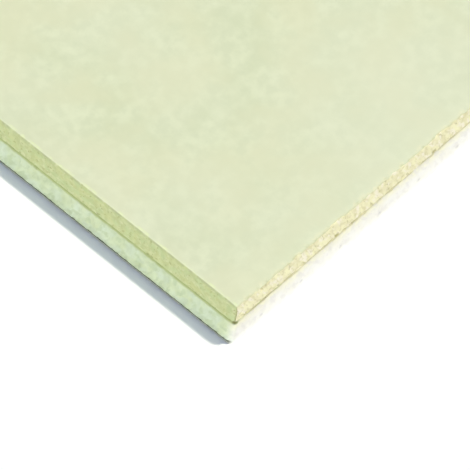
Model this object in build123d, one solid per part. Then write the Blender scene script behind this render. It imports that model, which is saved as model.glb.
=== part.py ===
"""Foam-backed drywall sheet: paper-faced gypsum board bonded to a sheet of expanded polystyrene.

The sheet lies flat, foam side down. X runs across its width, Y along its length and Z up through
its layers. The origin is at the middle of the underside of the foam.
"""
import os

from build123d import *

# Driving dimensions, in millimetres
sheet_length = 2400.0
sheet_width = 1200.0
board_thickness = 9.5
foam_thickness = 12.5

# Gap between the foam's sides and the board's, all round
foam_setback = 0.3
# The foam's long lower edges are crushed round by handling, and its ends are cut square
foam_edge_radius = 1.5
# Its long upper edges are eased, which leaves a groove along the joint with the board
foam_shoulder_radius = 0.6
# Its four upright corners are knocked round
foam_corner_radius = 3.0

# Both liners are cut from the same paper
paper_thickness = 0.35
# The core's long edges are eased by this radius, and the face paper is folded round them
core_edge_radius = 0.3
# How far the face paper returns under the back of the core
fold_width = 22.0
# The back paper stops this far short of each long edge
back_paper_inset = 6.0

# Levels through the sheet, from the floor up
board_back = foam_thickness
fold_back = board_back + paper_thickness
core_shoulder = fold_back + paper_thickness
board_face = board_back + board_thickness

# Outlines across the sheet's width
fold_outer_height = board_face - fold_back
fold_outer_middle = (board_face + fold_back) / 2
fold_outer_radius = core_edge_radius + paper_thickness
core_width = sheet_width - 2 * paper_thickness
core_height = fold_outer_height - 2 * paper_thickness
tongue_width = sheet_width - 2 * fold_width
tongue_middle = (fold_back + core_shoulder) / 2
back_paper_width = sheet_width - 2 * back_paper_inset

# Outlines of the foam
foam_width = sheet_width - 2 * foam_setback
foam_length = sheet_length - 2 * foam_setback
foam_middle = foam_thickness / 2


def outer_section():
    """Outline of the face paper's outside: square edges with eased arrises."""
    with BuildSketch(Plane.XZ) as section:
        with Locations((0, fold_outer_middle)):
            RectangleRounded(sheet_width, fold_outer_height, fold_outer_radius)
    return section.sketch


def core_section():
    """Outline of the gypsum: one paper inside the outer outline, with a shallow tongue on its back.

    The tongue fills the space between the two folds, so the back of the board comes out level.
    """
    with BuildSketch(Plane.XZ) as section:
        with Locations((0, fold_outer_middle)):
            RectangleRounded(core_width, core_height, core_edge_radius)
        with Locations((0, tongue_middle)):
            Rectangle(tongue_width, paper_thickness)
    return section.sketch


def foam_section():
    """Outline of the foam across its width, with its lower corners rounded and its upper ones eased."""
    with BuildSketch(Plane.XZ) as section:
        with Locations((0, foam_middle)):
            Rectangle(foam_width, foam_thickness)
        # The sketch's own Y axis runs up the section
        fillet(section.vertices().group_by(Axis.Y)[0], foam_edge_radius)
        fillet(section.vertices().group_by(Axis.Y)[-1], foam_shoulder_radius)
    return section.sketch


def along_the_sheet(section, length):
    """Carry a cross-section along the sheet, centred on its middle."""
    return extrude(section, amount=length / 2, both=True)


def gypsum_core():
    """The set gypsum between the papers, bare at the two cut ends."""
    return along_the_sheet(core_section(), sheet_length)


def face_paper():
    """The face liner: over the face, down both long edges and back in under the core."""
    return along_the_sheet(outer_section() - core_section(), sheet_length)


def back_paper():
    """The back liner, laid over the two folds of the face paper."""
    on_its_underside = (Align.CENTER, Align.CENTER, Align.MIN)
    flat_sheet = Box(back_paper_width, sheet_length, paper_thickness, align=on_its_underside)
    return Pos(0, 0, board_back) * flat_sheet


def foam_board():
    """The foam, bonded to the back paper, a little smaller than the board.

    Its cross-section is carried along the sheet, and what lies outside its rounded plan is cut away.
    """
    plan = RectangleRounded(foam_width, foam_length, foam_corner_radius)
    return along_the_sheet(foam_section(), foam_length) & extrude(plan, amount=foam_thickness)


pieces = {
    "gypsum_core": gypsum_core(),
    "face_paper": face_paper(),
    "back_paper": back_paper(),
    "foam_board": foam_board(),
}

os.makedirs("parts", exist_ok=True)
for node, piece in pieces.items():
    export_step(piece, f"parts/{node}.step")
    print(f"{node}: {piece.volume:.0f} cubic millimetres, {len(piece.solids())} solid")
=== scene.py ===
# %% [markdown]
# # A foam-backed drywall sheet
# The sheet is a gypsum board, wrapped in pale green paper, bonded to a white foam backing. It lies flat
# on a pale floor and the camera looks down on one corner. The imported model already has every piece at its
# real size, so this lesson only gives the pieces the surfaces that a saw, a fold and a hot wire leave.

# %% Load the frame
import math

import bpy
import numpy as np
from mathutils import Matrix, Vector


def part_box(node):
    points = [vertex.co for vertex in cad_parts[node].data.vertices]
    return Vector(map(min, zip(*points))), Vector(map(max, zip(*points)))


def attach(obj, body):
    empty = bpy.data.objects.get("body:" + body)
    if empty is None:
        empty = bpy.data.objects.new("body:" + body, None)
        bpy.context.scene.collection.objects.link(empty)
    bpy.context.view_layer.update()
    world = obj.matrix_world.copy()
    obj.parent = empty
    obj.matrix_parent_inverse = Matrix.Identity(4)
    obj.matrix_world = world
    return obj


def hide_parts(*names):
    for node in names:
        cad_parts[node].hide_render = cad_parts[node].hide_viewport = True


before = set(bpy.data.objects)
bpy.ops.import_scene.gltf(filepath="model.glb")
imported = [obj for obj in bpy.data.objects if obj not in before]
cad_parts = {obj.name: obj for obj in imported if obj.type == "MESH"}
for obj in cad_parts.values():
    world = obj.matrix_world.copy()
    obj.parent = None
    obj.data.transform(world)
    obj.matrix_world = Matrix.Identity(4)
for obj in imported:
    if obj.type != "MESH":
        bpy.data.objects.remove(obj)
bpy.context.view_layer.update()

scene = bpy.context.scene
scene.view_settings.view_transform = "Standard"

# %% [markdown]
# ## Sizes
# All lengths are in metres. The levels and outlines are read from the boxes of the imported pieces, so a
# change of thickness there is followed here. Only what a box can't tell is typed: how far the face paper
# is folded under the board, and how round the edges are.

# %% Read the sizes from the frame
core_low, core_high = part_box("gypsum_core")
paper_low, paper_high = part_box("face_paper")
liner_low, liner_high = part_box("back_paper")
foam_low, foam_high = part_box("foam_board")

sheet_width = paper_high.x - paper_low.x
sheet_length = paper_high.y - paper_low.y
face_level = paper_high.z
board_back = liner_low.z
paper_thickness = paper_high.z - core_high.z
fold_back = paper_low.z
fold_width = 0.022
arris_radius = 0.00065
foam_edge_radius = 0.0015
foam_shoulder_radius = 0.0006
foam_corner_radius = 0.003
foam_corner_top_radius = 0.0014
print(f"sheet {sheet_width:.3f} x {sheet_length:.3f}, paper {paper_thickness * 1000:.2f} mm")

# %% [markdown]
# ## The camera
# In the photograph the sheet's edges stay parallel, so the camera is far away behind a long lens. Three
# lines fix where it stands: the slopes of the two edges, and the lean of the corner between them, which
# says how far the camera was rolled. Taking the roll off leaves a level view of two edges at a right
# angle, and for such a pair the product of their slopes is the squared sine of the camera's elevation.

# %% Place the camera
photo_side = 470
long_edge_slope = 0.789
cut_end_slope = 0.851
corner_lean = math.radians(8.9)
board_corner_pixel = (234.6, 325.1)
board_corner_pixels = 17.75
camera_distance = 3.0
farthest_seen = 1000.0
sensor_width = 36.0

left_rise = math.tan(math.atan(long_edge_slope) - corner_lean)
right_rise = math.tan(math.atan(cut_end_slope) + corner_lean)
elevation = math.asin(math.sqrt(left_rise * right_rise))
turn = math.atan(right_rise / math.sin(elevation))
pixels_per_metre = board_corner_pixels / ((face_level - board_back) * math.cos(elevation))

level_right = np.array([math.cos(turn), -math.sin(turn), 0.0])
level_ahead = np.array([math.sin(turn), math.cos(turn), 0.0])
upward = np.array([0.0, 0.0, 1.0])
look = level_ahead * math.cos(elevation) - upward * math.sin(elevation)
level_up = level_ahead * math.sin(elevation) + upward * math.cos(elevation)
right = level_right * math.cos(corner_lean) + level_up * math.sin(corner_lean)
up = level_up * math.cos(corner_lean) - level_right * math.sin(corner_lean)

board_corner = np.array([paper_low.x, paper_low.y, board_back])
from_middle = (np.array(board_corner_pixel) - photo_side / 2) / pixels_per_metre
aim = board_corner - right * from_middle[0] + up * from_middle[1]
stand = aim - look * camera_distance

camera_data = bpy.data.cameras.new("corner_camera")
camera_data.sensor_width = sensor_width
camera_data.lens = sensor_width * camera_distance * pixels_per_metre / photo_side
camera_data.clip_end = farthest_seen
camera = bpy.data.objects.new("corner_camera", camera_data)
scene.collection.objects.link(camera)
camera_axes = np.eye(4)
camera_axes[:3, 0] = right
camera_axes[:3, 1] = up
camera_axes[:3, 2] = -look
camera_axes[:3, 3] = stand
camera.matrix_world = Matrix(camera_axes.tolist())
scene.camera = camera
view_angles = [round(math.degrees(angle), 1) for angle in (elevation, turn)]
print(f"elevation and turn {view_angles} degrees, lens {camera_data.lens:.0f} mm")

# %% [markdown]
# ## Helpers for nodes
# The world, the floor and every finish are graphs of nodes. Adding a node takes three steps, make it, set
# it and wire it, so one small helper does all three, and four more name the sums that come up most.

# %% Make the node helpers
def paint(red, green, blue):
    """A colour as picked from a screen, 0 to 255, turned into the linear light that nodes work in."""
    screen = np.array([red, green, blue]) / 255
    light = np.where(screen <= 0.04045, screen / 12.92, ((screen + 0.055) / 1.055) ** 2.4)
    return (*light.tolist(), 1.0)


def feed(tree, node, inputs):
    """Give each named or numbered input of a node a value, or wire another node's output to it."""
    for name, value in inputs.items():
        if isinstance(value, bpy.types.NodeSocket):
            tree.links.new(value, node.inputs[name])
        else:
            node.inputs[name].default_value = value


def add_node(tree, kind, inputs=None, **settings):
    """Add a node of a kind, with its settings and inputs."""
    node = tree.nodes.new("ShaderNode" + kind)
    for name, value in settings.items():
        setattr(node, name, value)
    feed(tree, node, inputs or {})
    return node


def maths(tree, operation, first, second=0.0):
    """One sum of two values."""
    return add_node(tree, "Math", {0: first, 1: second}, operation=operation).outputs[0]


def slope(tree, value, start, end):
    """0 up to start, 1 from end on, and an eased slope between them. Start may be the larger of the two."""
    inputs = {"Value": value, "From Min": start, "From Max": end}
    return add_node(tree, "MapRange", inputs, interpolation_type="SMOOTHSTEP").outputs[0]


def blend(tree, share, first, second):
    """A blend of two colours: the first where share is 0, the second where it is 1."""
    return add_node(tree, "Mix", {0: share, 6: first, 7: second}, data_type="RGBA").outputs[2]


def seen_directly(tree):
    """1 for what the camera sees itself, in a reflection or through glass, and 0 for light on its way."""
    path = add_node(tree, "LightPath").outputs
    seen = maths(tree, "MAXIMUM", path["Is Camera Ray"], path["Is Glossy Ray"])
    return maths(tree, "MAXIMUM", seen, path["Is Transmission Ray"])


print("white on screen is", paint(255, 255, 255)[0], "and mid grey is", round(paint(128, 128, 128)[0], 3))

# %% [markdown]
# ## Floor and light
# The shadow beside the long edge says where the main lamp is: it falls straight to the left of the picture
# and is not a third as wide as the sheet is thick, so the lamp is high on the right. A sun gives that
# crisp narrow strip all along the sheet. Within the strip the grey is nearly even, up to a thin dark line
# under the rounded foam, so what lights it comes from overhead and off the pale side of the sheet. A broad
# sun low in front makes the bare gypsum bright, and one low on the left lifts the shaded long edge. The
# shadow is cool, so the lamp overhead is blue, the even world is a little cool and the main lamp is warm.

# %% Set up the lamps, the world and the floor
shadow_run = 0.0064
key_direction = level_right * shadow_run + upward * face_level
warm_white = (1.0, 0.965, 0.83)
plain_white = (1.0, 1.0, 1.0)
sky_blue = (0.36, 0.47, 1.0)
fill_strength = 0.08
fill_colour = (0.6, 0.75, 0.9, 1.0)
seen_white = (1.0, 1.0, 1.0, 1.0)

# For each lamp: the direction from the sheet to it, its strength, its width in degrees and its colour
lamps = {
    "key_lamp": (key_direction, 2.51, 4.0, warm_white),
    "overhead_lamp": ((-0.04, -0.04, 1.0), 0.54, 1.5, sky_blue),
    "front_lamp": ((-0.1, -0.98, 0.14), 0.92, 50.0, plain_white),
    "side_lamp": ((-0.97, -0.05, 0.22), 1.34, 10.0, plain_white),
}


def sun(name, direction, strength, spread, colour):
    """A distant lamp, so that its light falls from the same direction everywhere."""
    lamp = bpy.data.lights.new(name, "SUN")
    lamp.energy = strength
    lamp.angle = math.radians(spread)
    lamp.color = colour
    holder = bpy.data.objects.new(name, lamp)
    holder.rotation_mode = "QUATERNION"
    holder.rotation_quaternion = Vector(direction).to_track_quat("Z", "Y")
    scene.collection.objects.link(holder)


for name, (direction, strength, spread, colour) in lamps.items():
    sun(name, direction, strength, spread, colour)

scene.world = bpy.data.worlds.new("white_room")
scene.world.use_nodes = True
room = scene.world.node_tree
fill = room.nodes["Background"]
feed(room, fill, {"Color": fill_colour, "Strength": fill_strength})
backdrop = add_node(room, "Background", {"Color": seen_white, "Strength": 1.0})
mixed = add_node(room, "MixShader", {0: seen_directly(room), 1: fill.outputs[0], 2: backdrop.outputs[0]})
room.links.new(mixed.outputs[0], room.nodes["World Output"].inputs["Surface"])

floor_half = 40.0
floor_gap = 0.00005
floor_tint = (0.9, 0.91, 0.92, 1.0)
floor_roughness = 0.9
floor_mesh = bpy.data.meshes.new("pale_floor")
floor_corners = np.array([(-1, -1, 0), (1, -1, 0), (1, 1, 0), (-1, 1, 0)]) * floor_half
floor_mesh.from_pydata(floor_corners.tolist(), [], [(0, 1, 2, 3)])
floor = bpy.data.objects.new("pale_floor", floor_mesh)
floor.location.z = foam_low.z - floor_gap
scene.collection.objects.link(floor)
floor_paint = bpy.data.materials.new("pale_floor")
floor_paint.use_nodes = True
floor_tree = floor_paint.node_tree
floor_colour = blend(floor_tree, seen_directly(floor_tree), floor_tint, seen_white)
floor_inputs = {"Base Color": floor_colour, "Roughness": floor_roughness}
feed(floor_tree, floor_tree.nodes["Principled BSDF"], floor_inputs)
floor_mesh.materials.append(floor_paint)
print("lamps:", list(lamps))

# %% [markdown]
# ## Rough surfaces from whole arrays
# Sawn gypsum, torn paper and cut foam are all rough in their own way, and none of them repeats. They could
# be sculpted or given a displacement texture, but a formula on a whole array of points is quicker and the
# same on every run. Two random fields do all the work here: a smooth cloud, and a packing of cells.

# %% Make the random fields
def dice(corner, seed):
    """A fixed random number from 0 to 1 for each corner, three whole numbers in the last axis.

    The whole numbers are multiplied by large odd numbers and added, and the bits of the sum are stirred.
    """
    whole = corner.astype(np.int64).astype(np.uint64)
    odd_numbers = np.array([374761393, 668265263, 2246822519], dtype=np.uint64)
    mixed = (whole * odd_numbers).sum(axis=-1, dtype=np.uint64) + np.uint64(seed * 3266489917)
    low_bits = np.uint64(0xFFFFFFFF)
    for shift, odd_number in ((15, 2246822519), (13, 3266489917)):
        mixed = mixed & low_bits
        mixed = (mixed ^ (mixed >> np.uint64(shift))) * np.uint64(odd_number)
    mixed = mixed & low_bits
    return (mixed ^ (mixed >> np.uint64(16))) / 2**32


def cloud(places, cell, seed):
    """A smooth random field from -1 to 1.

    Space is cut into cubes. Each corner of a cube gets a number from dice, and a place takes a mix of the
    eight corners of its own cube, weighted by how near it is to each and eased so that no crease shows.
    """
    scaled = places / cell
    corner = np.floor(scaled)
    share = scaled - corner
    share = share * share * (3 - 2 * share)
    total = 0
    for step in np.ndindex(2, 2, 2):
        weight = np.where(step, share, 1 - share).prod(axis=-1)
        total = total + weight * dice(corner + step, seed)
    return 2 * total - 1


def packing(places, cell, seed):
    """Cells packed like soap bubbles: one random point in each cube, and each place belongs to the nearest.

    Gives the distances to the three nearest points, in cells, and a random number for the nearest one.
    """
    scaled = places / cell
    corner = np.floor(scaled)
    distances = []
    numbers = []
    for step in np.ndindex(3, 3, 3):
        home = corner + np.array(step) - 1
        point = home + np.stack([dice(home, seed + axis) for axis in range(3)], axis=-1)
        distances.append(np.linalg.norm(scaled - point, axis=-1))
        numbers.append(dice(home, seed + 3))
    distances = np.array(distances)
    nearest = distances.argmin(axis=0)[np.newaxis]
    number = np.take_along_axis(np.array(numbers), nearest, axis=0)[0]
    return np.sort(distances, axis=0)[:3], number


def ramp(value, start, end):
    """0 up to start, 1 from end on, and an eased slope between them."""
    share = np.clip((value - start) / (end - start), 0, 1)
    return share * share * (3 - 2 * share)


trial = cloud(np.random.default_rng(1).uniform(-1, 1, (1000, 3)), 0.01, 1)
print(f"cloud runs from {trial.min():.2f} to {trial.max():.2f}")

# %% [markdown]
# ## From a grid to a closed piece
# Every piece below is a grid of points, in rows and columns, whose formula gives all points at once. Faces
# join neighbouring points, so they can be listed without looking at a single point. A closed skin encloses
# a positive volume when its faces point outwards, which is an easy test to turn an inside-out skin round.
# Points lie closest near the sheet's corners, where the eye and the camera come nearest.

# %% Make the mesh helpers
fine_zone = 0.125


def eased_places(length, fine, coarse):
    """Places along a line centred on 0: close together near both ends, wider apart between them."""
    end = np.linspace(0, fine_zone, round(fine_zone / fine) + 1)
    middle = np.linspace(fine_zone, length - fine_zone, round((length - 2 * fine_zone) / coarse) + 1)
    return np.concatenate([end[:-1], middle, (length - end[::-1])[1:]]) - length / 2


def grid_faces(rows, columns, rows_close=False, columns_close=False):
    """Faces between neighbouring points of a grid that is numbered row by row."""
    row = np.arange(rows if rows_close else rows - 1)
    column = np.arange(columns if columns_close else columns - 1)
    row, column = (part.ravel() for part in np.meshgrid(row, column, indexing="ij"))
    next_row = (row + 1) % rows
    next_column = (column + 1) % columns
    corners = [(row, column), (row, next_column), (next_row, next_column), (next_row, column)]
    return np.stack([r * columns + c for r, c in corners], axis=-1)


def enclosed_volume(points, faces):
    """Volume inside a closed skin.

    Each triangle and the origin make a small pyramid, and its volume counts with its sign.
    """
    a, b, c, d = (points[faces[:, corner]] for corner in range(4))
    halves = np.einsum("ij,ij->i", a, np.cross(b, c)) + np.einsum("ij,ij->i", a, np.cross(c, d))
    return halves.sum() / 6


def make_piece(name, node, points, faces, caps=(), crease=40):
    """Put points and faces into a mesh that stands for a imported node.

    It is shaded smooth, apart from edges that bend by more than crease degrees.
    """
    faces = faces.tolist() + [list(cap) for cap in caps]
    if enclosed_volume(points, np.array([face[:4] for face in faces if len(face) == 4])) < 0:
        faces = [face[::-1] for face in faces]
    mesh = bpy.data.meshes.new(name)
    mesh.from_pydata(points.tolist(), [], faces)
    mesh.shade_smooth()
    mesh.set_sharp_from_angle(angle=math.radians(crease))
    piece = bpy.data.objects.new(name, mesh)
    scene.collection.objects.link(piece)
    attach(piece, "root")
    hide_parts(node)
    triangles = sum(len(face) - 2 for face in faces)
    print(f"{name}: {len(points)} points, {triangles} triangles")
    return piece


def keep_value(piece, name, values):
    """Keep one number for each point, for the piece's material to read."""
    store = piece.data.attributes.new(name, "FLOAT", "POINT")
    store.data.foreach_set("value", np.ascontiguousarray(values, dtype=np.float32).ravel())


# %% [markdown]
# ## The gypsum core
# Gypsum is poured wet between two papers and sawn to length when it has set, so it shows only at the two
# ends, where the saw leaves a chalky face full of tiny air holes, and the top edge crumbles away under the
# paper. A bump map would leave the edge straight. So the core is one grid: columns across the width, and
# rows that go up one sawn end, over the top, down the other end and back underneath.

# %% Make the gypsum core
core_half = (core_high.x - core_low.x) / 2
core_radius = arris_radius - paper_thickness
core_shoulder = fold_back + paper_thickness
saw_wave = 0.00008
saw_wave_length = 0.019
grain_height = 0.00006
grain_size = 0.0015
fine_grain_share = 0.6
air_hole_cell = 0.0021
air_hole_share = 0.42
hollow_full_share = 0.25
chip_depth = 0.0004
chip_fade = 0.0008
chip_length = 0.005
short_chip_length = chip_length / 3
long_chip_share = 0.65
short_chip_share = 0.5
chipped_share = 0.8
low_chip_share = 0.3
sunk_share = 0.45
sunk_power = 8


def core_outline(column):
    """Top and bottom level of the core at each column: level, but rounded at both long edges.

    Past the rounding's start the level drops by radius minus the root of radius squared less run squared.
    Between the two folds of the paper the bottom steps down by one paper thickness.
    """
    run = np.clip(np.abs(column) - (core_half - core_radius), 0, core_radius)
    drop = core_radius - np.sqrt(core_radius**2 - run**2)
    between_folds = np.abs(column) < sheet_width / 2 - fold_width
    bottom = np.where(between_folds, core_low.z, core_shoulder + drop)
    return core_high.z - drop, bottom


def crumbling(x, side):
    """How far the edge has crumbled along each end, from 0 to 1: the tops of a long and a short cloud."""
    along = np.stack([x, 0 * x, side + 0 * x], axis=-1)
    long_chips = long_chip_share * cloud(along, chip_length, seed=21)
    short_chips = short_chip_share * cloud(along, short_chip_length, seed=22)
    return ramp(long_chips + short_chips, 0.0, chipped_share)


def saw_depth(x, z, side, top, bottom):
    """How far the sawn face lies behind a flat cut, and how hollow it is, from 0 to 1.

    A slow wave of the saw, a grain, the hollows of cut air holes, and chips that fade away from each arris.
    """
    places = np.stack([x, z, side + 0 * x], axis=-1)
    wave = saw_wave * cloud(places, saw_wave_length, seed=23)
    fine_grains = fine_grain_share * cloud(places, grain_size / 2, seed=25)
    grain = grain_height * (cloud(places, grain_size, seed=24) + fine_grains)
    distances, number = packing(places, air_hole_cell, seed=26)
    hole = np.clip(air_hole_share * number - distances[0], 0, None) * air_hole_cell
    by_top = np.exp((z - top) / chip_fade)
    by_bottom = low_chip_share * np.exp((bottom - z) / chip_fade)
    chips = chip_depth * crumbling(x, side) * (by_top + by_bottom)
    depth = np.clip(saw_wave + grain_height + wave + grain, 0, None) + hole + chips
    return depth, np.clip(hole / (hollow_full_share * air_hole_cell), 0, 1)


face_rows = 21
lip_insets = np.array([0.0007, 0.0018, 0.005])
core_steps = (0.0004, 0.0008)
column = eased_places(2 * core_half, *core_steps)
level = np.concatenate([np.linspace(0, 1, face_rows), np.ones(len(lip_insets))])
inset = np.concatenate([np.zeros(face_rows), lip_insets])
level, inset = (np.concatenate([part, part[::-1]]) for part in (level, inset))
side = np.repeat([-1.0, 1.0], len(level) // 2)

core_top, core_bottom = core_outline(column)
level, inset, side = (part[:, np.newaxis] for part in (level, inset, side))
x, level, inset, side = np.broadcast_arrays(column[np.newaxis], level, inset, side)
z = core_bottom + level * (core_top - core_bottom)
depth, hollow = saw_depth(x, z, side, core_top, core_bottom)
on_lip = inset > 0
depth = np.where(on_lip, depth * np.exp(-inset / chip_fade), depth)
sunk = sunk_share * chip_depth * crumbling(x, side) * level**sunk_power * np.exp(-inset / chip_fade)
core_points = np.stack([x, side * (sheet_length / 2 - inset - depth), z - sunk], axis=-1).reshape(-1, 3)
rows, columns = x.shape
core_faces = grid_faces(rows, columns, rows_close=True)
edge_loop = np.arange(rows) * columns
core_caps = [edge_loop, edge_loop[::-1] + columns - 1]
core = make_piece("sawn_gypsum_core", "gypsum_core", core_points, core_faces, core_caps)
keep_value(core, "hollow", np.where(on_lip, 0, hollow))

# %% [markdown]
# ## The two papers
# The face paper comes off a roll. It is folded up round both long edges of the wet gypsum and in under its
# back, and the back paper is laid over those folds. At the ends the saw tears both papers, so their edge
# runs in and out, thins to loose fibres and here and there curls over the crumbled gypsum. A sheet of paper
# is a profile carried along the length: an outer and an inner outline, one paper apart.

# %% Make the papers
tear_reach = 0.003
tear_depth = 0.00020
tear_setback = 0.00012
long_tear = 0.0030
short_tear = 0.0012
long_tear_share = 0.8
short_tear_share = 1.1
bite_depth = 0.0004
bite_length = 0.0042
bite_start_share = 0.35
bite_full_share = 0.75
unbitten_corner = 0.002
bitten_from = 0.006
under_tear_share = 0.35
feather_share = 0.75
fringe_width = 0.0006
row_insets = np.array([0, 0.0003, 0.0007, 0.0014, 0.003, 0.009, 0.06])
middle_rows = 7
bend_points = 7
fold_points = 9
edge_points = 12
face_steps = (0.00045, 0.0011)
liner_steps = (0.0005, 0.0013)


def folded_outline(inside):
    """Outline of the folded paper, a distance inside its outside, from the tip of one fold to the other.

    Under the fold, round a quarter circle, up the edge, round another quarter circle and across the face.
    """
    half = sheet_width / 2
    radius = arris_radius - inside
    middle_x = arris_radius - half
    quarter = np.linspace(0, math.pi / 2, bend_points)
    fold_x = np.linspace(fold_width - half, middle_x, fold_points)[:-1]
    edge_z = np.linspace(fold_back + arris_radius, face_level - arris_radius, edge_points)[1:-1]
    face_x = eased_places(sheet_width - 2 * arris_radius, *face_steps)[1:-1]
    pieces = [
        (fold_x, np.full(len(fold_x), fold_back + inside)),
        (middle_x - radius * np.sin(quarter), fold_back + arris_radius - radius * np.cos(quarter)),
        (np.full(len(edge_z), inside - half), edge_z),
        (middle_x - radius * np.cos(quarter), face_level - arris_radius + radius * np.sin(quarter)),
    ]
    left = np.concatenate([np.stack(piece, axis=-1) for piece in pieces])
    face = np.stack([face_x, np.full(len(face_x), face_level - inside)], axis=-1)
    return np.concatenate([left, face, left[::-1] * (-1, 1)])


def torn_back(outline, side, seed):
    """How far the torn end lies behind the cut at each point: less than 0 where it hangs over."""
    places = np.stack([outline[:, 0], outline[:, 1], side + 0 * outline[:, 0]], axis=-1)
    long_tears = long_tear_share * cloud(places, long_tear, seed)
    short_tears = short_tear_share * cloud(places, short_tear, seed + 1)
    bites = ramp(cloud(places, bite_length, seed + 2), bite_start_share, bite_full_share)
    from_edge = sheet_width / 2 - np.abs(outline[:, 0])
    bites = bites * ramp(from_edge, unbitten_corner, bitten_from)
    torn = tear_setback + tear_depth * (long_tears + short_tears) + bite_depth * bites
    underneath = outline[:, 1] < (face_level + fold_back) / 2
    return np.where(underneath, under_tear_share * torn, torn)


def make_paper(name, node, outer, inner, seed):
    """Carry an outer and an inner outline along the sheet, with torn ends that thin out and curl over.

    The end of each row moves by torn_back, which fades out over tear_reach. The outer outline comes down to
    the inner one by feather_share at the very end, and both sink where the paper hangs over.
    """
    along = np.linspace(row_insets[-1], sheet_length - row_insets[-1], middle_rows)[1:-1]
    inset = np.concatenate([row_insets, along, sheet_length - row_insets[::-1]])
    side = np.where(inset < sheet_length / 2, -1.0, 1.0)[:, np.newaxis]
    from_end = np.minimum(inset, sheet_length - inset)[:, np.newaxis]
    fade = np.clip(1 - from_end / tear_reach, 0, 1)
    torn = np.where(side < 0, torn_back(outer, -1.0, seed), torn_back(outer, 1.0, seed))
    y = side * (sheet_length / 2 - from_end - torn * fade)
    inward = (inner - outer)[np.newaxis]
    thinned = outer + inward * (feather_share * fade**2)[..., np.newaxis]
    curl = (np.clip(-torn, 0, None) * fade**2 / paper_thickness)[..., np.newaxis] * inward
    skins = [np.stack([part[..., 0], y, part[..., 1]], axis=-1) for part in (thinned + curl, inner + curl)]
    points = np.concatenate([skins[0], skins[1][:, ::-1]], axis=1)
    rows, columns = points.shape[:2]
    faces = grid_faces(rows, columns, columns_close=True)
    first = np.arange(columns // 2 - 1)
    strip = np.stack([first, columns - 1 - first, columns - 2 - first, first + 1], axis=-1)
    faces = np.concatenate([faces, strip, strip[:, ::-1] + (rows - 1) * columns])
    piece = make_piece(name, node, points.reshape(-1, 3), faces)
    fringe = np.clip(1 - from_end / fringe_width, 0, 1)
    keep_value(piece, "torn", np.repeat(fringe, columns, axis=1))
    return piece


outer_fold = folded_outline(0)
inner_fold = folded_outline(paper_thickness)
face_paper = make_paper("folded_face_paper", "face_paper", outer_fold, inner_fold, seed=31)
liner_x = eased_places(liner_high.x - liner_low.x, *liner_steps)
liner_under, liner_over = (
    np.stack([liner_x, np.full(len(liner_x), level)], axis=-1) for level in (liner_low.z, liner_high.z)
)
back_paper = make_paper("back_paper_sheet", "back_paper", liner_under, liner_over, seed=41)

# %% [markdown]
# ## The foam
# The backing is made of white beads, steamed until they swell into each other like packed bubbles, and
# then cut by a hot wire. The cut goes straight through the beads, so each shows as a small flat cell with a
# shallow groove round it, a pit where three cells meet, and now and then a hole where a bead fell out.
# Handling has crushed the lower edges round, and along the cut ends runs a row of small round marks. A
# profile carried round the outline makes it: from the underside, round the lower edge, up the cut side and
# in again over the top. The cells are worked out in space, so they run on unbroken round the corners.

# %% Make the foam
bead_size = 0.0030
bead_step = 0.00007
groove_depth = 0.00008
groove_width_share = 0.3
pit_depth = 0.00022
pit_floor_share = 0.02
lost_bead_share = 0.008
lost_bead_depth = 0.0007
dent_depth = 0.00007
dent_length = 0.012
dent_fade = 0.0016
dent_start_share = 0.35
dent_full_share = 0.9
crush_height = 0.0025
mark_pitch = 0.0189
mark_start = 0.0143
mark_level = 0.0031
mark_radius = 0.0012
mark_depth = 0.00025
# How much painted shade darkens grooves, pits, holes of lost beads and marks, as shares of the darkest
painted_shade_shares = {"groove": 0.4, "pit": 0.5, "lost": 0.6, "mark": 0.7}
foam_steps = (0.0006, 0.0013)
corner_points = 6
round_rows = 5
wall_rows = 7
sharper_from_share = 0.05
sharper_to_share = 0.4
flat_share = 0.985


def rounded_path(half_x, half_y, radius):
    """Points and outward directions round a rectangle with rounded corners, one side after the other."""
    places = []
    outwards = []
    quarter = np.linspace(0, math.pi / 2, corner_points)[1:-1]
    bend = np.stack([np.sin(quarter), -np.cos(quarter)], axis=-1)
    for number, (along, across) in enumerate(((half_x, half_y), (half_y, half_x)) * 2):
        run = eased_places(2 * along, *foam_steps) * (along - radius) / along
        straight = np.stack([run, np.full(len(run), -across)], axis=-1)
        side_places = np.concatenate([straight, bend * radius + (along - radius, radius - across)])
        side_outwards = np.concatenate([np.tile((0.0, -1.0), (len(run), 1)), bend])
        angle = number * math.pi / 2
        turned = np.array([[math.cos(angle), math.sin(angle)], [-math.sin(angle), math.cos(angle)]])
        places.append(side_places @ turned)
        outwards.append(side_outwards @ turned)
    return np.concatenate(places), np.concatenate(outwards)


def bead_relief(places):
    """How far a cut face lies behind a flat cut, the painted shade in its grooves and pits, and its bead's
    number.

    Near the line between two cells the distances to both are alike, which marks the groove. Near the point
    between three cells the third distance is alike too, which marks the pit.
    """
    distances, number = packing(places, bead_size, seed=51)
    groove = 1 - ramp(distances[1] - distances[0], 0, groove_width_share)
    pit = 1 - ramp(distances[2] - distances[0], pit_floor_share, groove_width_share)
    lost = (number < lost_bead_share) * (1 - groove)
    depth = groove_depth * groove + pit_depth * pit + bead_step * number + lost_bead_depth * lost
    dark = painted_shade_shares["groove"] * groove + painted_shade_shares["pit"] * pit + painted_shade_shares["lost"] * lost
    return depth, np.clip(dark, 0, 1), number


def end_marks(places, half_x, half_y):
    """A row of round marks along both cut ends, from 0 to 1: a bowl about each point of an even row."""
    along = (places[..., 0] + half_x - mark_start + mark_pitch / 2) % mark_pitch - mark_pitch / 2
    away = np.hypot(along, places[..., 2] - mark_level)
    on_end = np.abs(places[..., 1]) > half_y - mark_radius
    return on_end * np.clip(1 - (away / mark_radius) ** 2, 0, 1)


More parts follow.
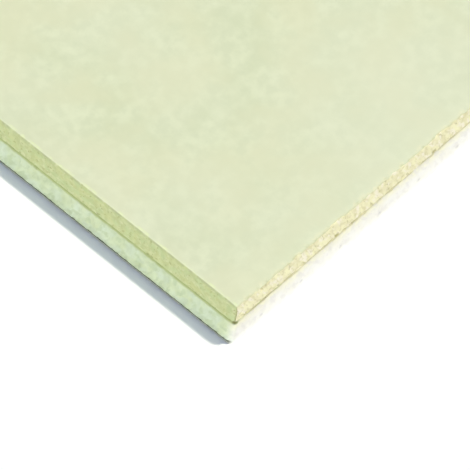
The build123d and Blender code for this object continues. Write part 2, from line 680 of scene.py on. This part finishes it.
def foam_half_width(level):
    """Half the foam's width at each level: in by a quarter circle below, and by a smaller one on top."""
    below = np.clip(foam_edge_radius - level, 0, foam_edge_radius)
    above = np.clip(level - (foam_high.z - foam_shoulder_radius), 0, foam_shoulder_radius)
    narrowed = foam_edge_radius - np.sqrt(foam_edge_radius**2 - below**2)
    eased = foam_shoulder_radius - np.sqrt(foam_shoulder_radius**2 - above**2)
    return foam_high.x - narrowed - eased


half_x = foam_high.x
half_y = foam_high.y
foam_top = foam_high.z
low_place, outward = rounded_path(half_x, half_y, foam_corner_radius)
high_place, outward = rounded_path(half_x, half_y, foam_corner_top_radius)
quarter = np.linspace(0, math.pi / 2, round_rows)
level = np.concatenate([
    foam_edge_radius * (1 - np.cos(quarter)),
    np.linspace(foam_edge_radius, foam_top - foam_shoulder_radius, wall_rows)[1:],
    foam_top - foam_shoulder_radius * (1 - np.sin(quarter[2::2])),
])
level = level[:, np.newaxis]
sharper = ramp(level, sharper_from_share * foam_top, sharper_to_share * foam_top)[..., np.newaxis]
place = low_place + sharper * (high_place - low_place)
half_width = foam_half_width(level)
wall = np.stack(np.broadcast_arrays(
    np.clip(place[..., 0], -half_width, half_width),
    place[..., 1],
    level,
), axis=-1)
relief, groove, bead = bead_relief(wall)
marks = end_marks(wall, half_x, half_y)
dents = ramp(cloud(wall * (1, 1, 0), dent_length, seed=55), dent_start_share, dent_full_share)
dents = dents * np.exp(-wall[..., 2] / dent_fade)
relief = relief * ramp(level, 0.0, crush_height) + mark_depth * marks + dent_depth * dents
wall[..., :2] -= outward * relief[..., np.newaxis]

under, over = (
    np.concatenate([outline * flat_share, np.full((len(outline), 1), height)], axis=-1)
    for outline, height in ((low_place, foam_low.z), (high_place, foam_top))
)
foam_grid = np.concatenate([under[np.newaxis], wall, over[np.newaxis]])
rows, columns = foam_grid.shape[:2]
first = np.arange(columns)
following = (first + 1) % columns
middles = np.array([(0, 0, foam_low.z), (0, 0, foam_top)])
under_fan = np.stack([np.full(columns, rows * columns), following, first], axis=-1)
over_fan = np.stack([np.full(columns, rows * columns + 1), first, following], axis=-1)
over_fan[:, 1:] += (rows - 1) * columns
foam_points = np.concatenate([foam_grid.reshape(-1, 3), middles])
foam_faces = grid_faces(rows, columns, columns_close=True)
foam_caps = np.concatenate([under_fan, over_fan]).tolist()
foam = make_piece("bead_foam_board", "foam_board", foam_points, foam_faces, foam_caps, crease=50)
blank = np.zeros((1, columns))
groove = np.clip(groove + painted_shade_shares["mark"] * marks, 0, 1)
for name, values in (("groove", groove), ("bead", bead)):
    keep_value(foam, name, np.concatenate([blank, values, blank], axis=None).tolist() + [0.0, 0.0])

# %% [markdown]
# ## Shared finishes
# Two effects turn up on every surface here: a patchy tone, because paper, gypsum and foam are never one
# even colour, and a fine grain that catches the light. Each is built once as a node group with its own
# sockets, and every material then places it with its own values.

# %% Make the shared groups
patch_detail = 3.0
grain_detail = 4.0


def new_group(name, inputs, outputs):
    """An empty node group with named sockets.

    Gives its tree, the values that come in and the node that the results leave by.
    """
    tree = bpy.data.node_groups.new(name, "ShaderNodeTree")
    for in_out, sockets in (("INPUT", inputs), ("OUTPUT", outputs)):
        for socket_name, kind in sockets.items():
            tree.interface.new_socket(socket_name, in_out=in_out, socket_type="NodeSocket" + kind)
    return tree, tree.nodes.new("NodeGroupInput").outputs, tree.nodes.new("NodeGroupOutput")


def patchy_tone():
    """Lay soft patches of another colour over a colour: noise of a scale, cut off at a threshold."""
    inputs = {"Place": "Vector", "Color": "Color", "Patch": "Color", "Scale": "Float", "Amount": "Float"}
    inputs.update({"Threshold": "Float", "Softness": "Float"})
    tree, given, leave = new_group("patchy_tone", inputs, {"Color": "Color", "Mask": "Float"})
    noise_inputs = {"Vector": given["Place"], "Scale": given["Scale"], "Detail": patch_detail}
    noise = add_node(tree, "TexNoise", noise_inputs)
    low = maths(tree, "SUBTRACT", given["Threshold"], given["Softness"])
    high = maths(tree, "ADD", given["Threshold"], given["Softness"])
    mask = maths(tree, "MULTIPLY", slope(tree, noise.outputs["Fac"], low, high), given["Amount"])
    feed(tree, leave, {"Color": blend(tree, mask, given["Color"], given["Patch"]), "Mask": mask})
    return tree


def fine_grain():
    """The height of a fine grain, from 0 to 1: noise of a scale, drawn out along the sheet by a stretch."""
    inputs = {"Place": "Vector", "Scale": "Float", "Stretch": "Float"}
    tree, given, leave = new_group("fine_grain", inputs, {"Height": "Float"})
    shrink = add_node(tree, "CombineXYZ", {"X": 1.0, "Y": given["Stretch"], "Z": 1.0}).outputs[0]
    drawn = add_node(tree, "VectorMath", {0: given["Place"], 1: shrink}, operation="MULTIPLY").outputs[0]
    noise = add_node(tree, "TexNoise", {"Vector": drawn, "Scale": given["Scale"], "Detail": grain_detail})
    feed(tree, leave, {"Height": noise.outputs["Fac"]})
    return tree


shared = {group.name: group for group in (patchy_tone(), fine_grain())}
print("shared groups:", list(shared))

# %% [markdown]
# ## One material at a time
# Every finish below starts alike: a new material, its shader, and the Object coordinate, which gives the
# place of each point in metres. A small class keeps these together, so that a finish reads as a list of
# what lies on the surface, from the lowest layer up. All four surfaces are matt, so their specular level
# is low, and their roughness and a shallow bump vary a little from spot to spot.

# %% Make the finish helper
matt_specular = 0.25


class Finish:
    """A material being built: its node tree, its shader, and the place of each point on the piece."""

    def __init__(self, name):
        self.material = bpy.data.materials.new(name)
        self.material.use_nodes = True
        self.tree = self.material.node_tree
        self.shader = self.tree.nodes["Principled BSDF"]
        self.shader.inputs["Specular IOR Level"].default_value = matt_specular
        self.place = add_node(self.tree, "TexCoord").outputs["Object"]
        self.x, self.y, self.z = add_node(self.tree, "SeparateXYZ", {0: self.place}).outputs

    def draw_out(self, lean_x, lean_y, squeeze):
        """Draw out what is worked out from the place, up the sides and at a slant."""
        x = self.maths("ADD", self.x, self.maths("MULTIPLY", self.z, lean_x))
        y = self.maths("ADD", self.y, self.maths("MULTIPLY", self.z, lean_y))
        z = self.maths("MULTIPLY", self.z, squeeze)
        self.place = add_node(self.tree, "CombineXYZ", {"X": x, "Y": y, "Z": z}).outputs[0]

    def shared(self, name, **inputs):
        """Place one of the shared groups, with its own values."""
        node = add_node(self.tree, "Group", node_tree=shared[name])
        feed(self.tree, node, {"Place": self.place, **inputs})
        return node.outputs

    def layers(self, colour, rows):
        """Lay patches over a colour, one kind after the other.

        Each row gives a kind's colour, the scale of its noise, its amount, its threshold and its softness.
        """
        for patch, scale, amount, threshold, softness in rows:
            values = {"Color": colour, "Patch": paint(*patch), "Scale": scale, "Amount": amount}
            values.update(Threshold=threshold, Softness=softness)
            colour = self.shared("patchy_tone", **values)["Color"]
        return colour

    def mask(self, scale, amount, threshold, softness):
        """The places of patches alone, from 0 to 1."""
        values = {"Scale": scale, "Amount": amount, "Threshold": threshold, "Softness": softness}
        return self.shared("patchy_tone", **values)["Mask"]

    def maths(self, operation, first, second=0.0):
        """One sum of two values."""
        return maths(self.tree, operation, first, second)

    def slope(self, value, start, end):
        """0 up to start, 1 from end on, eased between them."""
        return slope(self.tree, value, start, end)

    def blend(self, share, first, second):
        """A blend of two colours."""
        return blend(self.tree, share, first, second)

    def inward(self, coordinate, half):
        """How far a point is inside one of the sheet's two long or two cut sides."""
        return self.maths("SUBTRACT", half, self.maths("ABSOLUTE", coordinate))

    def distance(self, along_x, along_y, along_z):
        """How far apart two points are, from how far apart they are along each axis."""
        offset = add_node(self.tree, "CombineXYZ", {"X": along_x, "Y": along_y, "Z": along_z}).outputs[0]
        return add_node(self.tree, "VectorMath", {0: offset}, operation="LENGTH").outputs["Value"]

    def from_corner(self, half_x, half_y, level):
        """How far a point is from the nearest of the four corners at a level."""
        above = self.maths("SUBTRACT", self.z, level)
        return self.distance(self.inward(self.x, half_x), self.inward(self.y, half_y), above)

    def stored(self, name):
        """A number kept on the piece's points."""
        return add_node(self.tree, "Attribute", attribute_name=name).outputs["Fac"]

    def put_on(self, piece, colour, rough, height, depth):
        """Wire colour, roughness (its lowest, its highest and a scale) and bump, and give it to a piece."""
        low, high, scale = rough
        mask = self.mask(scale, amount=1.0, threshold=0.5, softness=0.25)
        spread = add_node(self.tree, "MapRange", {"Value": mask, "To Min": low, "To Max": high}).outputs[0]
        bump_inputs = {"Height": height, "Distance": depth, "Strength": 1.0}
        bump = add_node(self.tree, "Bump", bump_inputs).outputs[0]
        feed(self.tree, self.shader, {"Base Color": colour, "Roughness": spread, "Normal": bump})
        piece.data.materials.append(self.material)
        print(f"{self.material.name}: {len(self.tree.nodes)} nodes on {piece.name}")


# %% [markdown]
# ## Gypsum
# Set gypsum is cream, and its sawn face is blotchy where the saw broke it up and left dust behind. The
# saw's teeth drew the blotches out up the face at a slant, so the place that they are worked out from
# leans, and is squeezed in height. The air holes come from the mesh, and the shader paints shade into
# them, deepening their colour with the value kept on each point. A grey stain, partly painted shade along
# the joint, and a few dark specks follow the back paper, and a painted shadow darkens the board's lower
# corners, where they overhang the foam.

# %% Finish the gypsum
blotch_lean = 0.5
blotch_squeeze = 0.45
hollow_shade_share = 0.4
stain_and_shade_top = core_low.z + 0.0012
speck_top = core_low.z + 0.0030
speck_full = core_low.z + 0.0010
corner_shadow_reach = 0.0015
corner_shadow_full = 0.0008
corner_shadow_colour = paint(122, 124, 76)

gypsum = Finish("sawn_gypsum")
gypsum.draw_out(lean_x=blotch_lean, lean_y=0.0, squeeze=blotch_squeeze)
cream = gypsum.layers(paint(251, 247, 206), [
    ((238, 232, 192), 330, 0.9, 0.50, 0.15),
    ((255, 249, 229), 450, 0.8, 0.56, 0.08),
    ((225, 219, 172), 700, 0.7, 0.57, 0.08),
    ((203, 196, 148), 560, 0.7, 0.65, 0.05),
])
# Painted shade: the air holes are darkened by the value kept on each point.
hole_shade = gypsum.maths("MULTIPLY", gypsum.stored("hollow"), hollow_shade_share)
cream = gypsum.blend(hole_shade, cream, paint(196, 188, 134))
# The grey stain along the back paper is partly painted shade of the joint below the board.
back_stain_and_shade = gypsum.slope(gypsum.z, stain_and_shade_top, core_low.z)
near_back = gypsum.slope(gypsum.z, speck_top, speck_full)
cream = gypsum.layers(cream, [
    ((198, 192, 146), 260, back_stain_and_shade, 0.50, 0.15),
    ((186, 180, 124), 170, near_back, 0.63, 0.04),
])
# Painted shadow under the board's corners, where they overhang the rounded foam.
core_corner = gypsum.from_corner(sheet_width / 2, sheet_length / 2, fold_back)
core_corner_shadow = gypsum.slope(core_corner, corner_shadow_reach, corner_shadow_full)
cream = gypsum.blend(core_corner_shadow, cream, corner_shadow_colour)
grain = gypsum.shared("fine_grain", Scale=1600.0, Stretch=1.0)["Height"]
gypsum.put_on(core, cream, rough=(0.9, 1.0, 300.0), height=grain, depth=0.00006)

# %% [markdown]
# ## Paper
# The face paper is a pale yellow-green, matt and faintly clouded, with its fibres along the sheet. Over the
# long edge it is painted a deeper olive, which stands in for the tinted light on that shaded side. It is
# scuffed grey along the upper arris and ticked with dirt along the lower one, and a painted highlight lies
# in pale patches on the face above the upper arris. All of this hangs on how far a point is from the edge,
# which the Object coordinate gives, so both edges get it and no texture has to be wrapped round a corner.
# Near the saw cut it is smudged and strewn with crumbs of gypsum, and its torn fibres are darker here and
# there. A painted shadow darkens the lower corners. The back paper is a plain grey-brown with darker
# patches.

# %% Finish the papers
crumb_reach = 0.0026
smudge_reach = 0.0013
arris_highlight_reach = 0.0014
arris_highlight_full = 0.0008
tick_height = 0.0018
tick_full = 0.0008
scuff_height = 0.0015
arris_reach = 0.0004
arris_full = 0.0001
below_arris = 0.0008
side_full = 0.0012
low_fibres = fold_back + paper_thickness
high_fibres = fold_back + 4 * paper_thickness

paper = Finish("face_paper")
to_edge = paper.inward(paper.x, sheet_width / 2)
to_end = paper.inward(paper.y, sheet_length / 2)
# Painted highlight: pale patches on the face just above the upper arris.
near_edge_highlight = paper.slope(to_edge, arris_highlight_reach, arris_highlight_full)
near_cut = paper.slope(to_end, crumb_reach, 0.0)
at_cut = paper.slope(to_end, smudge_reach, 0.0)
face = paper.layers(paint(214, 221, 186), [
    ((226, 232, 198), 260, 0.9, 0.50, 0.20),
    ((208, 216, 179), 90, 0.7, 0.54, 0.15),
    ((225, 226, 189), 45, 0.6, 0.52, 0.15),
    ((228, 232, 205), 9, 0.5, 0.50, 0.15),
    ((228, 236, 189), 330, near_edge_highlight, 0.55, 0.15),
    ((233, 233, 198), 480, near_cut, 0.56, 0.10),
    ((205, 208, 162), 420, at_cut, 0.58, 0.08),
])

below_face = paper.maths("SUBTRACT", face_level, paper.z)
high_arris = paper.slope(below_face, scuff_height, 0.0)
low_arris = paper.slope(paper.z, fold_back + tick_height, fold_back + tick_full)
# Painted light: the edge band is a deeper olive copy of the face paper, for the tinted light in the shade.
edge = paper.layers(paint(209, 216, 163), [
    ((194, 202, 145), 420, 0.9, 0.50, 0.15),
    ((208, 213, 146), 170, 0.35, 0.53, 0.10),
    ((190, 210, 154), 230, 0.4, 0.54, 0.10),
    ((219, 223, 178), 600, 0.6, 0.62, 0.06),
    ((167, 174, 114), 700, 0.7, 0.64, 0.05),
    ((182, 188, 143), 240, high_arris, 0.47, 0.14),
    ((146, 154, 94), 150, low_arris, 0.64, 0.04),
])

on_arris = paper.slope(to_edge, arris_reach, arris_full)
on_edge = paper.maths("MAXIMUM", on_arris, paper.slope(below_face, below_arris, side_full))
sheet_colour = paper.blend(on_edge, face, edge)
above_fold = paper.slope(paper.z, low_fibres, high_fibres)
edge_fibres = paper.blend(above_fold, paint(192, 187, 152), paint(152, 150, 102))
fibre_colour = paper.blend(on_edge, paint(216, 216, 174), edge_fibres)
frayed = paper.mask(scale=260, amount=paper.stored("torn"), threshold=0.45, softness=0.15)
sheet_colour = paper.blend(frayed, sheet_colour, fibre_colour)
# Painted shadow at the board's lower corners, as on the gypsum.
paper_corner = paper.from_corner(sheet_width / 2, sheet_length / 2, fold_back)
paper_corner_shadow = paper.slope(paper_corner, corner_shadow_reach, corner_shadow_full)
sheet_colour = paper.blend(paper_corner_shadow, sheet_colour, corner_shadow_colour)
fibres = paper.shared("fine_grain", Scale=900.0, Stretch=0.3)["Height"]
paper.put_on(face_paper, sheet_colour, rough=(0.8, 0.9, 200.0), height=fibres, depth=0.00003)

liner = Finish("back_paper")
brown = liner.layers(paint(210, 203, 168), [((154, 145, 106), 240, 0.9, 0.62, 0.05)])
liner_fibres = liner.shared("fine_grain", Scale=900.0, Stretch=0.3)["Height"]
liner.put_on(back_paper, brown, rough=(0.85, 0.95, 200.0), height=liner_fibres, depth=0.00003)

# %% [markdown]
# ## Foam
# The foam is white where its ends were cut, and its long sides are painted a green that stands in for the
# tinted light on the shaded side. Each bead is a little lighter or darker than the next, and painted shade
# darkens the grooves and pits between them, by the values kept on the points. Its patches are drawn out at
# a slant, as those of the gypsum are. Painted light makes the long sides paler and the cut ends a plain
# white towards the floor. Along the foot of the long sides runs a dark band of painted contact shade,
# partly dirt, and the shoulders under the board carry painted shade of the joint, partly grime, like the
# paper above them. Gypsum dust and a stain, partly painted shade, lie along the top of the cut ends, and a
# painted shadow darkens the foam's top corners under the board's corners. The round marks are small for the
# grid, so the shader works out how far a point is from the nearest mark and tints it. The underside has too
# few points for beads, so there the cells are a pattern in the shader.

# %% Finish the foam
streak_lean_x = 0.5
streak_lean_y = 0.3
streak_squeeze = 0.4
long_side_reach = 0.0026
long_side_full = 0.0010
tint_start = -0.001
tint_full = 0.0035
white_low = 0.0003
white_high = 0.0036
paler_to_floor_top = 0.009
dust_low = 0.006
dust_share = 0.75
seam_low = 0.0106
seam_full = 0.0119
side_soil_share = 0.8
end_soil_share = 0.5
bead_shade_share = 0.3
underside_top = 0.0001
cell_line_share = 0.1
groove_shade_share = 0.35
joint_shade_low = 0.0105
joint_shade_grime_share = 0.9
corner_shadow_drop = 0.0004
dirt_shade_start = 0.0003
dirt_shade_low = 0.0006
dirt_shade_full = 0.0013
dirt_shade_top = 0.00155
clean_corner = 0.0004
darkened_from = 0.0020
pore_share = 0.3

beads = Finish("bead_foam")
beads.draw_out(lean_x=streak_lean_x, lean_y=streak_lean_y, squeeze=streak_squeeze)
to_side = beads.inward(beads.x, half_x)
long_side = beads.slope(to_side, long_side_reach, long_side_full)
to_cut = beads.inward(beads.y, half_y)
# Painted light: the long sides' green stands in for the tinted light on the shaded side.
tinted = beads.maths("MULTIPLY", long_side, beads.slope(to_cut, tint_start, tint_full))
white = beads.layers(paint(254, 253, 247), [((252, 250, 239), 200, 0.9, 0.50, 0.15)])
dusty = beads.maths("MULTIPLY", beads.slope(beads.z, dust_low, foam_top), dust_share)
white = beads.blend(dusty, white, paint(255, 252, 206))
# Partly stain, partly painted shade: the tops of the cut ends darken under the board's edge.
seam_stain_and_shade = beads.slope(beads.z, seam_low, seam_full)
white = beads.layers(white, [((205, 199, 148), 200, seam_stain_and_shade, 0.50, 0.20)])
# Painted light: towards the floor the cut ends turn a plain bright white, with mottles only higher up.
upper = beads.slope(beads.z, white_low, white_high)
white = beads.blend(upper, paint(255, 255, 252), white)
# Painted light: the long sides grow paler towards the floor, lifting the shade near the floor.
paler_to_floor = beads.blend(beads.slope(beads.z, 0.0, paler_to_floor_top), paint(233, 246, 207), paint(221, 232, 194))
green = beads.layers(paler_to_floor, [
    ((212, 225, 184), 300, 0.8, 0.50, 0.15),
    ((224, 232, 186), 150, 0.4, 0.53, 0.10),
    ((219, 233, 212), 190, 0.6, 0.53, 0.10),
])
clean = beads.blend(tinted, white, green)
shade = beads.blend(tinted, paint(235, 232, 228), paint(202, 217, 177))
side_soil = beads.maths("MULTIPLY", tinted, side_soil_share)
end_soil = beads.maths("MULTIPLY", upper, end_soil_share)
soiled = beads.maths("MAXIMUM", side_soil, end_soil)
mottled = beads.mask(scale=420, amount=soiled, threshold=0.57, softness=0.07)
foam_colour = beads.blend(mottled, clean, shade)
bead_shade = beads.maths("MULTIPLY", soiled, bead_shade_share)
uneven = beads.maths("MULTIPLY", beads.stored("bead"), bead_shade)
foam_colour = beads.blend(uneven, foam_colour, shade)

underside = beads.slope(beads.z, underside_top, 0.0)
cells = add_node(beads.tree, "TexVoronoi", feature="DISTANCE_TO_EDGE")
feed(beads.tree, cells, {"Vector": beads.place, "Scale": 1 / bead_size})
near_line = beads.slope(cells.outputs["Distance"], cell_line_share, 0.0)
cell_line = beads.maths("MULTIPLY", near_line, underside)
# Painted shade: grooves, pits, marks and the underside's cell lines are darkened.
in_groove = beads.maths("MAXIMUM", beads.stored("groove"), cell_line)
groove_shade_colour = beads.blend(tinted, paint(236, 234, 224), paint(178, 193, 152))
groove_shade = beads.maths("MULTIPLY", in_groove, groove_shade_share)
foam_colour = beads.blend(groove_shade, foam_colour, groove_shade_colour)

along_row = beads.maths("ADD", beads.x, half_x - mark_start)
to_mark = beads.maths("PINGPONG", along_row, mark_pitch / 2)
from_mark = beads.distance(to_mark, 0.0, beads.maths("SUBTRACT", beads.z, mark_level))
marked = beads.slope(from_mark, mark_radius, 0.0)
foam_colour = beads.blend(marked, foam_colour, paint(226, 224, 221))
# Painted shade of the joint under the board, partly grime: the foam's shoulders darken to olive.
near_board = beads.slope(beads.z, joint_shade_low, foam_top - foam_shoulder_radius)
shoulder = beads.maths("MULTIPLY", near_board, long_side)
joint_shade_and_grime = beads.maths("MULTIPLY", shoulder, joint_shade_grime_share)
foam_colour = beads.blend(joint_shade_and_grime, foam_colour, paint(181, 193, 130))
foam_colour = beads.layers(foam_colour, [((146, 154, 94), 150, shoulder, 0.64, 0.04)])
# Painted shadow on the foam's top corners, under the board's overhanging corners.
foam_corner = beads.from_corner(half_x, half_y, foam_top - corner_shadow_drop)
foam_corner_shadow = beads.slope(foam_corner, corner_shadow_reach, corner_shadow_full)
foam_colour = beads.blend(foam_corner_shadow, foam_colour, corner_shadow_colour)
# Painted contact shade where the foam meets the floor, partly dirt: a dark band at the foot of the long
# sides.
low_edge = beads.maths("MULTIPLY", long_side, beads.slope(to_cut, clean_corner, darkened_from))
under_top = beads.slope(beads.z, dirt_shade_top, dirt_shade_full)
over_foot = beads.slope(beads.z, dirt_shade_start, dirt_shade_low)
dirt_shade_band = beads.maths("MULTIPLY", under_top, over_foot)
dirt_and_contact_shade = beads.maths("MULTIPLY", dirt_shade_band, low_edge)
foam_colour = beads.blend(dirt_and_contact_shade, foam_colour, paint(18, 34, 16))
pores = beads.shared("fine_grain", Scale=1200.0, Stretch=1.0)["Height"]
foam_height = beads.maths("SUBTRACT", beads.maths("MULTIPLY", pores, pore_share), cell_line)
beads.put_on(foam, foam_colour, rough=(0.65, 0.8, 300.0), height=foam_height, depth=0.00010)
